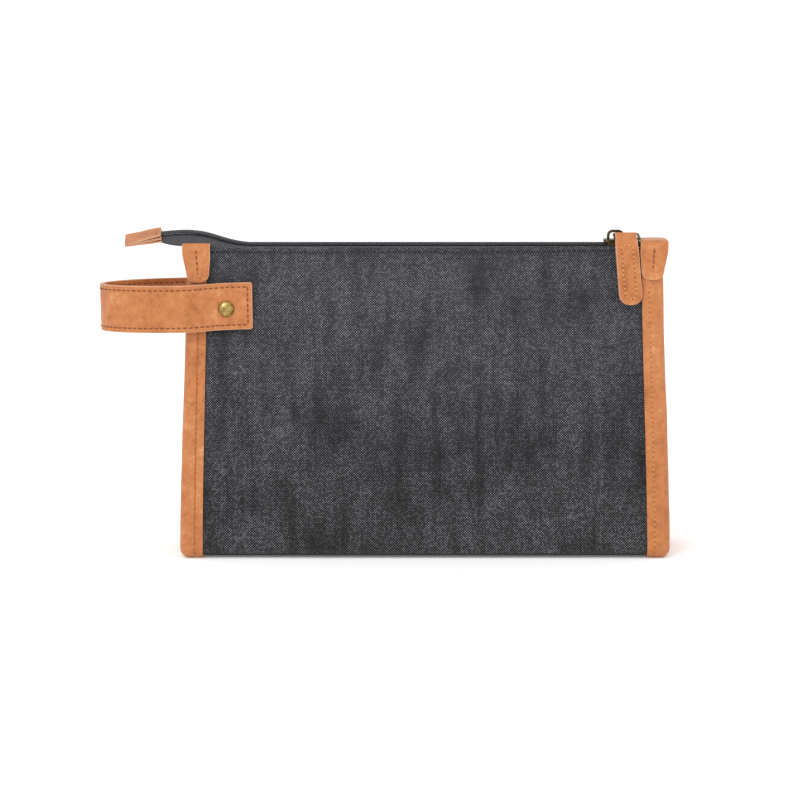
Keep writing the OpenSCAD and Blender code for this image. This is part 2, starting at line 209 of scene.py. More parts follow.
colours = {
    "canvasDark": "#0A0A0C",
    "canvasMid": "#45444A",
    "canvasLight": "#C6C7CC",
    "leatherDark": "#9A5829",
    "leatherMid": "#B87241",
    "leatherLight": "#D1976A",
    "edgeDark": "#D9A988",
    "leatherEdge": "#E8C3A6",
    "threadDark": "#9A5A2C",
    "thread": "#A65F2E",
    "goldThread": "#E2A860",
    "brownThreadDark": "#64300C",
    "brownThread": "#87400F",
    "blackThreadDark": "#121214",
    "blackThread": "#2A2A2E",
    # painted shade inside the needle holes
    "holeShadeDark": "#5A3018",
    "holeShade": "#6A3616",
    "tape": "#36363B",
    "tapeLight": "#4E4E54",
    "cordDark": "#141416",
    "cord": "#1E1E20",
    "coil": "#38383B",
    "coilLight": "#717176",
    "bronzeDark": "#1E1810",
    "bronze": "#54452F",
    "bronzeLight": "#B5A27C",
    "brassDark": "#76602F",
    "brass": "#B39860",
    "brassLight": "#EBDCB4",
    "lining": "#56534E",
    "liningLight": "#7A766F",
    "boardDark": "#6E5F48",
    "board": "#8A7A60",
}
weave = {
    "pitch": 0.66,  # from one thread to the next
    "relief": 0.3,
    "knots": 0.36,  # how much paler the crossings are
    "creases": 0.07,  # how pale the worn creases are
    "paintedLightTop": 161,  # painted light: the cloth is painted palest at this height, lighter towards the top as if lit from above
    "paintedFootShade": (1.2, 3.6),  # heights where the painted shade along the bottom of the cloth ends
}
hide = {
    "cloud": 16,  # sizes of the wide, the middle and the fine pattern
    "mottle": 3.2,
    "grain": 0.7,
    "pores": 0.9,
    "relief": 0.22,
}


# a named colour as the shader takes it
def paint(name):
    parts = [int(colours[name][i:i + 2], 16) / 255 for i in (1, 3, 5)]
    return (*[c / 12.92 if c < 0.04045 else ((c + 0.055) / 1.055) ** 2.4 for c in parts], 1)


def canvasFinish():
    finish = Finish("waxedCanvas", Roughness=0.88, Sheen_Weight=0.1, Sheen_Roughness=0.5)
    finish.surface.inputs["Specular IOR Level"].default_value = 0.25
    uv = finish.node("ShaderNodeTexCoord", output="UV")
    across = finish.split(uv, 0) * (1 / (weave["pitch"] * mm))
    along = finish.split(uv, 1) * (1 / (weave["pitch"] * mm))
    height = finish.split(finish.coords, 2)
    cell = finish.pair(finish.floor(across), finish.floor(along))
    chance = finish.node("ShaderNodeTexWhiteNoise", {"noise_dimensions": "2D"}, {"Vector": cell})
    knots = finish.sine(across * math.pi) * finish.sine(along * math.pi)
    weft = finish.noise(1, 2, vector=finish.pair(across * (0.02 * mm), along * (0.5 * mm)))
    band = finish.noise(7, 3, vector=finish.pair(finish.split(uv, 0), finish.split(uv, 1) * 0.2))
    cloud = finish.noise(42, 4, 0.6)
    # painted light: tone rises towards the top edge, painting the cloth lighter where it is lit from above
    rise = finish.ramp(height, 0.0, weave["paintedLightTop"] * mm)
    rows = finish.sine(along * math.pi)
    tone = 0.04 + knots * weave["knots"] + rows * 0.08 + (chance - 0.5) * 0.16 + (weft - 0.5) * 0.4
    tone = tone + (band - 0.5) * 0.26 + (cloud - 0.5) * 0.3 + rise * 0.19
    speck = (0.25 + finish.ramp(chance, 0.3, 1.0) * 0.6) * finish.ramp(knots, 0.1, 1.0)
    speck = speck * finish.ramp(cloud + band, 0.55, 1.25)
    bend = finish.noise(30, 3, 0.55)
    crease = finish.ramp(bend, 0.485, 0.5) * (1 - finish.ramp(bend, 0.5, 0.515))
    crease = crease * finish.ramp(finish.noise(48, 2), 0.48, 0.66)
    body = finish.tint(paint("canvasDark"), paint("canvasMid"), finish.ramp(tone, 0, 0.55))
    body = finish.tint(body, paint("canvasLight"), crease * weave["creases"])
    body = finish.tint(body, paint("canvasLight"), speck * 0.9)
    # painted shade: a dark band along the topstitch line, standing for the shadow in the seam's groove
    body = finish.tint(body, paint("canvasDark"), finish.attribute("rim") * 0.9)
    # painted shade: the lowest few millimetres of the cloth are painted dark, standing for the shadow under
    # the bag's rounded bottom edge
    foot, clear = weave["paintedFootShade"]
    colour = finish.tint(paint("canvasDark"), body, finish.ramp(height, foot * mm, clear * mm))
    return finish.show(colour, None, knots + (weft - 0.5) * 0.5, weave["relief"], 0.8)


def leatherFinish():
    finish = Finish("tanLeather", Sheen_Weight=0.08, Sheen_Roughness=0.4)
    finish.surface.inputs["Specular IOR Level"].default_value = 0.35
    cloud = finish.noise(hide["cloud"], 5, 0.62)
    mottle = finish.noise(hide["mottle"], 5, 0.65)
    grain = finish.noise(hide["grain"], 3, 0.6)
    pores = {"Vector": finish.coords, "Scale": 1 / (hide["pores"] * mm)}
    pores = finish.node("ShaderNodeTexVoronoi", {}, pores)
    rim = finish.attribute("rim")
    tone = (cloud - 0.5) * 1.6 + (mottle - 0.5) * 1.5 + (grain - 0.5) * 0.8 + 0.5
    body = finish.tint(paint("leatherDark"), paint("leatherMid"), finish.ramp(tone, -0.1, 0.62))
    body = finish.tint(body, paint("leatherLight"), finish.ramp(tone, 0.55, 1.15) * 0.85)
    # painted shade: a darker band just inside the leather's edges stands for the edge's shadow line; the
    # next line darkens the raised grain
    edgeShadeAndGrain = finish.tint(body, paint("leatherDark"), rim * 0.3)
    edgeShadeAndGrain = finish.tint(edgeShadeAndGrain, paint("leatherDark"), finish.ramp(grain, 0.56, 0.8) * 0.25)
    colour = finish.tint(edgeShadeAndGrain, paint("leatherEdge"), finish.ramp(rim, 0.5, 0.8) * 0.35)
    height = grain * 0.6 + pores * 0.5 + mottle * 0.8
    return finish.show(colour, 0.5 + (mottle - 0.5) * 0.4, height, hide["relief"], 0.75)


def plainFinish(name, dark, light, size, depth, **fixed):
    finish = Finish(name, **fixed)
    mix = finish.noise(size, 4, 0.6)
    fine = finish.noise(size / 5, 2)
    colour = finish.tint(paint(dark), paint(light), finish.ramp(mix * 0.7 + fine * 0.3, 0.3, 0.7))
    return finish.show(colour, None, mix + fine * 0.5, depth, 0.6)


def tapeFinish(name, dark, light, pitch):
    finish = Finish(name, Roughness=0.8)
    spread = finish.split(finish.coords, 1)
    run = finish.split(finish.coords, 0)
    rib = finish.sine(run * (2 * math.pi / (pitch * mm)))
    rows = finish.sine((spread + finish.split(finish.coords, 2)) * (2 * math.pi / (pitch * 1.6 * mm)))
    height = rib * rows
    fuzz = finish.noise(1.2, 3)
    colour = finish.tint(paint(dark), paint(light), finish.ramp(height * 0.3 + fuzz, 0.2, 1.0))
    return finish.show(colour, None, height * 0.5 + fuzz, 0.12, 0.7)


def metalFinish(name, dark, body, light, wear):
    finish = Finish(name, Metallic=1.0)
    patina = finish.noise(2.6, 4, 0.6)
    fine = finish.noise(0.5, 3, 0.6)
    colour = finish.tint(paint(dark), paint(body), finish.ramp(patina + (fine - 0.5) * 0.5, 0.3, 0.6))
    colour = finish.tint(colour, paint(light), finish.ramp(patina, 0.55, 0.85) * wear)
    return finish.show(colour, 0.28 + fine * 0.25, fine + patina * 0.5, 0.04, 0.5)


finishes = {
    "canvas": canvasFinish(),
    "leather": leatherFinish(),
    "edge": plainFinish("leatherEdge", "edgeDark", "leatherEdge", 1.4, 0.15, Roughness=0.75),
    "thread": plainFinish("tanThread", "threadDark", "thread", 0.6, 0.05, Roughness=0.6),
    "goldThread": plainFinish("goldThread", "thread", "goldThread", 0.6, 0.05, Roughness=0.55),
    "brownThread": plainFinish("brownThread", "brownThreadDark", "brownThread", 0.6, 0.05, Roughness=0.6),
    "blackThread": plainFinish("blackThread", "blackThreadDark", "blackThread", 0.6, 0.05, Roughness=0.7),
    "holeShade": plainFinish("needleHoleShade", "holeShadeDark", "holeShade", 0.8, 0.02, Roughness=0.9),
    "cord": plainFinish("zipCord", "cordDark", "cord", 0.9, 0.03, Roughness=0.8),
    "tape": tapeFinish("zipTape", "tape", "tapeLight", 0.7),
    "coil": plainFinish("zipCoil", "coil", "coilLight", 0.9, 0.03, Roughness=0.5, Specular_IOR_Level=0.4),
    "bronze": metalFinish("darkBronze", "bronzeDark", "bronze", "bronzeLight", 0.8),
    "brass": metalFinish("agedBrass", "brassDark", "brass", "brassLight", 0.7),
    "lining": tapeFinish("liningCloth", "lining", "liningLight", 0.5),
    "board": plainFinish("stiffBoard", "boardDark", "board", 2.5, 0.1, Roughness=0.9),
}
print("finishes ready")

# shared shape of the bag; every size from here on is in millimetres

bag = {
    "endX": 127.0,
    "height": 161.5,  # canvas top edge above the floor
    "footZ": 1.25,  # outer face of the canvas under the bag
    "lean": math.radians(7.9924),  # of the front and the back, inwards
    "heelR": 5.0,  # rounded bottom edge
    "heelY": -25.249,  # middle of that round
    "heelZ": 6.25,
    "turnUnder": 16.6,  # canvas under the foot
    "canvasT": 1.2,
    "leatherT": 1.2,
}
heelLength = bag["heelR"] * (math.pi / 2 + bag["lean"])
wallTop = bag["heelZ"] + bag["heelR"] * math.sin(bag["lean"])
wallLength = (bag["height"] - wallTop) / math.cos(bag["lean"])
faceStart = bag["turnUnder"] + heelLength
pathLength = faceStart + wallLength
underHalf = -bag["heelY"] - bag["turnUnder"]


def smooth(low, high, value):
    t = min(max((value - low) / (high - low), 0), 1)
    return t * t * (3 - 2 * t)


def lerp(first, second, t):
    return first + (second - first) * t


def bell(value, middle, width):
    return math.exp(-((value - middle) / width) ** 2)


# point on the front of the bag, s along it from under the foot to the top edge
def wallPoint(x, s, out=0.0, side=-1):
    if s < bag["turnUnder"]:
        place = Vector((x, bag["heelY"] + bag["turnUnder"] - s, bag["footZ"]))
        normal = Vector((0, 0, -1))
    else:
        turn = min((s - bag["turnUnder"]) / bag["heelR"], math.pi / 2 + bag["lean"])
        normal = Vector((0, -math.sin(turn), -math.cos(turn)))
        place = Vector((x, bag["heelY"], bag["heelZ"])) + normal * bag["heelR"]
        climb = max(s - faceStart, 0)
        place += Vector((0, math.sin(bag["lean"]), math.cos(bag["lean"]))) * climb
    place += normal * out
    if side > 0:
        place.y, normal.y = -place.y, -normal.y
    return place, normal


def heightToPath(z):
    return faceStart + (z - wallTop) / math.cos(bag["lean"])


# mesh helpers

seamGap = 0.01  # points nearer than this are one


def useAlone(piece):
    bpy.ops.object.select_all(action="DESELECT")
    piece.select_set(True)
    bpy.context.view_layer.objects.active = piece


def applyModifier(piece, kind, **settings):
    useAlone(piece)
    modifier = piece.modifiers.new(kind.title(), kind)
    for key, value in settings.items():
        setattr(modifier, key, value)
    bpy.ops.object.modifier_apply(modifier=modifier.name)


def closeSeams(piece):
    useAlone(piece)
    bpy.ops.object.mode_set(mode="EDIT")
    bpy.ops.mesh.select_all(action="SELECT")
    bpy.ops.mesh.remove_doubles(threshold=seamGap * mm)
    bpy.ops.mesh.normals_make_consistent(inside=False)
    bpy.ops.object.mode_set(mode="OBJECT")


def smoothShade(piece, degrees=40):
    useAlone(piece)
    bpy.ops.object.shade_smooth_by_angle(angle=math.radians(degrees))


# a flat grid bent to its place, u and v from 0 to 1 over its width and its length
def bentSheet(name, columns, rows, place, size=(1, 1), edgeWidth=0):
    bpy.ops.object.select_all(action="DESELECT")
    bpy.ops.mesh.primitive_grid_add(x_subdivisions=columns, y_subdivisions=rows, size=2)
    piece = bpy.context.object
    piece.name = name
    piece.data.name = name
    rim = piece.data.attributes.new("rim", "FLOAT", "POINT")
    for vertex in piece.data.vertices:
        u = (vertex.co.x + 1) / 2
        v = (vertex.co.y + 1) / 2
        inward = min(min(u, 1 - u) * size[0], min(v, 1 - v) * size[1])
        rim.data[vertex.index].value = math.exp(-inward / edgeWidth) if edgeWidth else 0
        vertex.co = Vector(place(u, v)) * mm
    for corner in piece.data.uv_layers[0].data:
        corner.uv = (corner.uv[0] * size[0] * mm, corner.uv[1] * size[1] * mm)
    return piece


def thicken(piece, thickness, bevel=0.25):
    applyModifier(piece, "SOLIDIFY", thickness=thickness * mm, offset=0, material_offset_rim=1)
    if bevel:
        applyModifier(piece, "BEVEL", width=bevel * mm, segments=2, limit_method="ANGLE",
                      angle_limit=math.radians(50), material=1)
    smoothShade(piece)


def settle(piece, body, looks, replaced=()):
    for look in looks:
        piece.data.materials.append(finishes[look])
    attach(piece, body)
    if replaced:
        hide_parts(*replaced)


# copies of one small shape, joined in one piece
def repeated(name, shape, places):
    whole = bmesh.new()
    for place in places:
        whole.from_mesh(shape.data)
        whole.verts.ensure_lookup_table()
        fresh = whole.verts[-len(shape.data.vertices):]
        bmesh.ops.transform(whole, matrix=place, verts=fresh)
    mesh = bpy.data.meshes.new(name)
    whole.to_mesh(mesh)
    whole.free()
    for look in shape.data.materials:
        mesh.materials.append(look)
    piece = bpy.data.objects.new(name, mesh)
    bpy.context.scene.collection.objects.link(piece)
    bpy.data.objects.remove(shape)
    smoothShade(piece, 60)
    return piece


# stitches

stitch = {
    "width": 0.72,
    "depth": 0.6,
    "holeSize": 0.6,
    "holeGap": 0.2,  # from the end of a stitch to its hole
}


def stitchShape(length, look, bulk):
    bpy.ops.mesh.primitive_uv_sphere_add(segments=6, ring_count=4, radius=0.5)
    thread = bpy.context.object
    size = Vector((stitch["depth"] * bulk, stitch["width"] * bulk, length)) * mm
    for vertex in thread.data.vertices:
        vertex.co = Vector((vertex.co.z * size.z, vertex.co.y * size.y, vertex.co.x * size.x))
    thread.data.materials.append(finishes[look])
    holeRadius = stitch["holeSize"] / 2 * bulk * mm
    # painted shade: a flat dark disc at each end of a stitch stands for the shade inside its needle hole;
    # under black thread it takes the dark coil finish
    bpy.ops.mesh.primitive_uv_sphere_add(segments=6, ring_count=3, radius=holeRadius)
    holeShade = bpy.context.object
    holeX = (length / 2 + stitch["holeGap"]) * mm
    for vertex in holeShade.data.vertices:
        vertex.co = Vector((vertex.co.x + holeX, vertex.co.y, vertex.co.z * 0.3))
    holeShade.data.materials.append(finishes["coil" if look == "blackThread" else "holeShade"])
    thread.select_set(True)
    bpy.context.view_layer.objects.active = thread
    bpy.ops.object.join()
    return thread


# places one stitch every pitch along a line; spot(t) gives a point and the way out of the surface
def stitchPlaces(spot, start, end, pitch):
    count = max(round(abs(end - start) / pitch), 1)
    places = []
    for i in range(count):
        t = lerp(start, end, (i + 0.5) / count)
        step = 0.3 if end > start else -0.3
        point, out = spot(t)
        ahead = spot(t + step)[0] - spot(t - step)[0]
        along = ahead.normalized()
        out = (out - along * out.dot(along)).normalized()
        side = out.cross(along)
        turn = Matrix((along, side, out)).transposed().to_4x4()
        places.append(Matrix.Translation(point * mm) @ turn)
    return places


def stitchRow(name, body, look, length, places, bulk=1):
    piece = repeated(name, stitchShape(length, look, bulk), places)
    settle(piece, body, [])


# canvas body

canvas = {
    "columns": 150,
    "rows": 110,
    "halfWidth": 122.6,
    "belly": 1.3,  # how far the cloth stands out in the middle
    "wrinkle": 0.4,
    "hem": 2.8,  # from the top edge to the stitches
    "rightRise": 0.7,  # how much higher the top edge runs near the closed end
    "hemRows": 0.16,  # share of the rows spent on the hem
    "hemZone": 8.0,
    "seam": 0.5,  # how deep the stitches pull the cloth in
    "stitchEnd": 112,
    "stitchPitch": 2.7,
    # folds left in the cloth: x, height, slope in degrees, length, width, depth
    "creases": [(-18, 92, 55, 46, 5, 0.5), (22, 78, -35, 40, 4.5, 0.42), (34, 60, 80, 50, 5, 0.38),
                (-60, 52, 25, 50, 6, 0.35), (8, 120, -12, 60, 5, 0.3), (72, 96, 65, 42, 6, 0.3),
                (-8, 40, -60, 36, 5, 0.32), (56, 36, 15, 44, 6, 0.3)],
}


def clothSwell(x, s, seed):
    calm = smooth(-84, -40, x) * (1 - smooth(78, 98, x))
    climb = min(max((s - bag["turnUnder"]) / (pathLength - bag["turnUnder"]), 0), 1)
    swell = canvas["belly"] * calm * math.sin(math.pi * climb) ** 0.8
    free = calm * smooth(0, 0.12, climb) * (1 - smooth(0.93, 1, climb))
    swell += canvas["wrinkle"] * free * noise.noise(Vector((x / 34, s / 27, seed)))
    swell += canvas["wrinkle"] * 0.4 * free * noise.noise(Vector((x / 12, s / 10, seed + 5)))
    for cx, cz, slope, length, width, depth in canvas["creases"]:
        angle = math.radians(slope)
        dx = x - cx * (1 if seed < 5 else -1)
        dz = s - heightToPath(cz)
        along = dx * math.cos(angle) + dz * math.sin(angle)
        across = -dx * math.sin(angle) + dz * math.cos(angle)
        across += 2.5 * noise.noise(Vector((along / 15, cx, seed)))
        fold = bell(across, 1.2, width / 2) - bell(across, -1.5, width / 2.5)
        swell += depth * free * bell(along, 0, length / 2) * fold
    return swell - canvas["seam"] * bell(s, pathLength - canvas["hem"], 0.55)


def topRise(x, s):
    return canvas["rightRise"] * smooth(20, 96, x) * smooth(pathLength - 40, pathLength, s)


def canvasPath(v):
    share = 1 - canvas["hemRows"]
    low = pathLength - canvas["hemZone"]
    if v < share:
        return v / share * low
    return lerp(low, pathLength, (v - share) / canvas["hemRows"])


def makeCanvas(name, side, seed, replaced):
    def place(u, v):
        x = canvas["halfWidth"] * (2 * u - 1)
        s = canvasPath(v)
        point = wallPoint(x, s, clothSwell(x, s, seed) - bag["canvasT"] / 2, side)[0]
        point.z += topRise(x, s)
        return point

    piece = bentSheet(name, canvas["columns"], canvas["rows"], place, (2 * canvas["halfWidth"], pathLength))
    for corner in piece.data.uv_layers[0].data:
        corner.uv[1] = canvasPath(corner.uv[1] / (pathLength * mm)) * mm
    # here rim marks the topstitch line, where the cloth gets a painted shadow in the seam's groove
    rim = piece.data.attributes["rim"]
    for i in range(len(rim.data)):
        s = canvasPath(i // (canvas["columns"] + 1) / canvas["rows"])
        rim.data[i].value = bell(s, pathLength - canvas["hem"], 0.75)
    thicken(piece, bag["canvasT"], 0.3)
    settle(piece, "bag", ["canvas", "canvas"], [replaced])

    def spot(x):
        s = pathLength - canvas["hem"]
        point, normal = wallPoint(x, s, clothSwell(x, s, seed) + 0.1, side)
        point.z += topRise(x, s)
        return point, normal

    places = stitchPlaces(spot, -canvas["stitchEnd"], canvas["stitchEnd"], canvas["stitchPitch"])
    stitchRow(name + "Topstitch", "bag", "blackThread", 1.9, places)


makeCanvas("canvasFront", -1, 1.5, "front_panel")
makeCanvas("canvasBack", 1, 8.5, "back_panel")


def makeBase():
    low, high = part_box("base_panel")
    low, high = low / mm, high / mm
    middle = (low.z + high.z) / 2

    def place(u, v):
        x, y = lerp(low.x, high.x, u), lerp(low.y, high.y, v)
        slack = math.sin(math.pi * u) * math.sin(math.pi * v)
        return (x, y, middle + slack * (0.5 + 0.3 * noise.noise(Vector((x / 25, y / 15, 3)))))

    piece = bentSheet("canvasBase", 90, 20, place, (high.x - low.x, high.y - low.y))
    thicken(piece, high.z - low.z, 0.3)
    settle(piece, "bag", ["canvas", "canvas"], ["base_panel"])


makeBase()
print("canvas done")

# leather ends

ends = {
    "flangeRows": 10,
    "cornerRows": 7,
    "wallRows": 14,
    "profileColumns": 170,
    "cornerR": 4.2,
    "hollow": 1.3,  # how far the end wall sinks in along its middle
    "spineLow": 16.0,  # the middle line of the end wall starts this high
    "stitchPitch": 2.6,
    "stitchClear": 21,  # the corner tab covers the seam above this
    "left": {"outBase": 128.5, "outTop": 124.8, "inBase": 116.4, "inTop": 114.2, "row": 4.2,
             "puff": 0.0, "look": "thread"},
    "right": {"outBase": 128.3, "outTop": 124.6, "inBase": 116.2, "inTop": 113.2, "row": 3.7,
              "puff": 0.7, "look": "goldThread"},
}


def makeEnd(name, hand, shape, replaced):
    half = pathLength + underHalf
    rows = ends["flangeRows"] + ends["cornerRows"] + ends["wallRows"]
    lift = 0.05 + bag["leatherT"] / 2

    def edges(z):
        t = smooth(0, bag["height"], z)
        return lerp(shape["inBase"], shape["inTop"], t), lerp(shape["outBase"], shape["outTop"], t)

    def place(u, v):
        turn = 2 * u - 1
        rim, normal = wallPoint(0, abs(turn) * half - underHalf, lift, -1 if turn < 0 else 1)
        inner, outer = edges(rim.z)
        ripple = 0.35 * noise.noise(Vector((rim.y / 30, rim.z / 22, hand * 4)))
        outer += ripple - bag["leatherT"] / 2
        row = v * rows
        if row <= ends["flangeRows"]:
            x = lerp(inner, outer - ends["cornerR"], row / ends["flangeRows"])
            puff = shape["puff"] * math.sin(math.pi * row / ends["flangeRows"]) * smooth(2, 20, rim.z)
            dent = 0.35 * bell(x, inner + shape["row"], 0.9)
            rim += normal * (puff - dent)
            return (hand * x, rim.y, rim.z)
        row -= ends["flangeRows"]
        if row <= ends["cornerRows"]:
            angle = math.pi / 2 * row / ends["cornerRows"]
            rim -= normal * ends["cornerR"] * (1 - math.cos(angle))
            return (hand * (outer - ends["cornerR"] * (1 - math.sin(angle))), rim.y, rim.z)
        t = (row - ends["cornerRows"]) / ends["wallRows"]
        rim -= normal * ends["cornerR"]
        spine = max(rim.z, ends["spineLow"])
        sink = ends["hollow"] * math.sin(math.pi / 2 * t) * smooth(4, 50, rim.z)
        return (hand * (outer - sink), rim.y * (1 - t), lerp(rim.z, spine, t))

    piece = bentSheet(name, ends["profileColumns"], rows, place, (2 * half, 13))
    closeSeams(piece)
    thicken(piece, bag["leatherT"])
    settle(piece, "bag", ["leather", "leather"], [replaced])

    def spot(side):
        def at(s):
            point, normal = wallPoint(0, s, 2 * lift - 0.25, side)
            inner, outer = edges(point.z)
            share = shape["row"] / (outer - ends["cornerR"] - inner)
            point += normal * shape["puff"] * math.sin(math.pi * min(share, 1)) * smooth(2, 20, point.z)
            point.x = hand * (inner + shape["row"])
            return point, normal
        return at

    places = []
    for side in (-1, 1):
        top = pathLength - ends["stitchClear"]
        places += stitchPlaces(spot(side), bag["turnUnder"] + 3, top, ends["stitchPitch"])
    stitchRow(name + "Stitches", "bag", shape["look"], 1.7, places)


# the lining's end, just inside the leather
def makeLiningEnd(name, hand, shape, replaced):
    def place(u, v):
        edge = wallPoint(0, lerp(bag["turnUnder"] + 4, pathLength - 4, v), -1.9 - bag["leatherT"])[0]
        outer = lerp(shape["outBase"], shape["outTop"], smooth(0, bag["height"], edge.z))
        return (hand * (outer - ends["hollow"] - 2.5), lerp(edge.y, -edge.y, u), edge.z)

    piece = bentSheet(name, 12, 40, place, (40, 150))
    thicken(piece, 0.6, 0)
    settle(piece, "bag", ["lining", "lining"], [replaced])


makeLiningEnd("liningLeft", -1, ends["left"], "lining_left")
makeLiningEnd("liningRight", 1, ends["right"], "lining_right")
makeEnd("gussetLeft", -1, ends["left"], "left_gusset")
makeEnd("gussetRight", 1, ends["right"], "right_gusset")

tabs = {
    "width": 14.4,
    "endWidth": 11.6,
    "endR": 4.4,
    "foldR": 2.4,  # to the middle of the leather
    "straight": 8.8,
    "out": 1.95,  # from the canvas face to the middle of the leather
    "lift": 0.8,  # of the round end off the leather below
    "slant": 1.1,  # the round end sits this far in from the middle of the fold
}


def makeTab(name, hand, top, length, stitchTop, stitchLow, replaced):
    centre = hand * (bag["endX"] - tabs["width"] / 2)
    foldZ = top - bag["leatherT"] / 2 - tabs["foldR"]
    side = heightToPath(foldZ)
    foldStart = wallPoint(0, side, tabs["out"])[0]
    foldY = foldStart.y + tabs["foldR"] * math.cos(bag["lean"])
    drop = foldZ - (top - length)
    arc = tabs["foldR"] * (math.pi / 2 - bag["lean"])
    half = drop + arc - foldY

    # d is the distance along the tab from its front end
    def line(d, out=0.0):
        if d > half:
            point, normal = line(2 * half - d, out)
            return Vector((point.x, -point.y, point.z)), Vector((0, -normal.y, normal.z))
        if d < drop:
            return wallPoint(0, side - (drop - d), tabs["out"] + out)
        if d < drop + arc:
            angle = math.pi - bag["lean"] - (d - drop) / tabs["foldR"]
            normal = Vector((0, math.cos(angle), math.sin(angle)))
            return Vector((0, foldY, foldZ)) + normal * (tabs["foldR"] + out), normal
        normal = Vector((0, 0, 1))
        return Vector((0, foldY + d - drop - arc, foldZ + tabs["foldR"] + out)), normal

    def halfWidth(d):
        d = min(d, 2 * half - d)
        wide = lerp(tabs["endWidth"], tabs["width"], smooth(3, length - tabs["straight"] + 4, d)) / 2
        if d < tabs["endR"]:
            wide -= tabs["endR"] - math.sqrt(max(tabs["endR"] ** 2 - (tabs["endR"] - d) ** 2, 0))
        return wide

    def place(u, v):
        ease = v - 0.08 * math.sin(4 * math.pi * v) / 2
        d = 2 * half * ease
        point, normal = line(d)
        across = 2 * u - 1
        crown = 0.35 * (1 - across ** 4) + 0.12 * noise.noise(Vector((u * 3, v * 9, hand)))
        crown *= smooth(0, 5, min(d, 2 * half - d))
        near = min(d, 2 * half - d)
        lift = tabs["lift"] * (1 - smooth(0, 8, near))
        dent = 0.5 * bell(across, 0, 0.12) * smooth(3, 6, near) * (1 - smooth(15, 19, near))
        point += normal * (crown - 0.15 + lift - dent)
        slant = tabs["slant"] * (1 - smooth(0, length, near))
        return (centre - hand * slant + across * halfWidth(d), point.y, point.z)

    piece = bentSheet(name, 24, 90, place, (tabs["width"], 2 * half), 0.6)
    thicken(piece, bag["leatherT"], 0.3)
    settle(piece, "bag", ["leather", "edge"], [replaced])
    places = []
    for mirror in (False, True):
        def spot(z):
            d = drop - (side - heightToPath(z))
            out = 0.35 + tabs["lift"] * (1 - smooth(0, 8, d))
            point, normal = line(2 * half - d if mirror else d, out)
            slant = tabs["slant"] * (1 - smooth(0, length, d))
            return Vector((centre - hand * slant, point.y, point.z)), normal
        places += stitchPlaces(spot, stitchTop, stitchLow, 2.9)
    stitchRow(name + "Stitches", "bag", "brownThread", 1.7, places, 1.45)


makeTab("cornerTabLeft", -1, 163.2, 20.2, 160.5, 145.9, "left_corner_tab")
makeTab("cornerTabRight", 1, 165.1, 20.8, 160.9, 147.2, "right_corner_tab")
print("leather ends done")

# zip

zipper = {
    "base": 161.6,  # underside of the coil
    "inner": 0.3,  # half the gap between the two tapes
    "flatHalf": 5.6,
    "tapeT": 0.6,
    "tailStart": -95.0,
    "sewn": (-98, -92),  # the tape leaves the canvas between these
    "end": 121.8,
    "coilEnd": -139.4,
    "depth": 12.0,  # of tape sewn in under the canvas
    "pitch": 1.36,
    "rowWidth": 2.75,
    "rowHeight": 2.1,
    "filament": 0.35,
    "lean": 0.42,  # of each turn of the coil
    # x, rise of the coil, drop of the tape's edge, how much the tape narrows
    "tail": [(-95, 0, 0.2, 0), (-105, 2.2, 2.4, 0), (-112.5, 4.8, 4.6, 0), (-120, 6.3, 5.4, 0.2),
             (-127.5, 6.5, 5.4, 0.3), (-133, 6.1, 4.9, 0.9), (-137, 5.7, 3.2, 1.6), (-142, 5.2, 1.4, 2.6)],
}


# a column of the tail's table at x, averaged over 8 mm so that it runs smoothly
def tailAt(x, column):
    total = 0
    for shift in (-4, -2, 0, 2, 4):
        spot = x + shift * smooth(0, 6, zipper["tailStart"] - x + 6)
        value = 0
        for first, second in zip(zipper["tail"], zipper["tail"][1:]):
            if spot <= first[0]:
                share = min((first[0] - spot) / (first[0] - second[0]), 1)
                value = lerp(first[column], second[column], share)
        total += value / 5
    return total


def makeTape(name, side, replaced):
    low = zipper["tail"][-1][0]
    edge = zipper["flatHalf"]
    tapeMiddle = zipper["base"] - zipper["tapeT"] / 2

    def place(u, v):
        x = lerp(low, zipper["end"], u)
        t = v * 2
        rise, drop, narrow = tailAt(x, 1), tailAt(x, 2), tailAt(x, 3)
        sewn = smooth(*zipper["sewn"], x)
        if t <= 1:
            y = lerp(zipper["inner"], edge - narrow, t)
            wave = 0.25 * noise.noise(Vector((x / 5, side, t))) * t * (1 - sewn)
            z = tapeMiddle + rise - drop * t ** 1.7 + wave
        else:
            inside = wallPoint(0, pathLength - 1 - (t - 1) * zipper["depth"], -bag["canvasT"] - 0.35)[0]
            y = lerp(edge - narrow - 0.3 * (t - 1), -inside.y, sewn)
            z = lerp(tapeMiddle + rise - drop - 0.4 * (t - 1), inside.z, sewn)
        return (x, side * y, z)

    piece = bentSheet(name, 200, 20, place, (zipper["end"] - low, 20))
    thicken(piece, zipper["tapeT"], 0)
    settle(piece, "bag", ["tape", "tape"], [replaced])


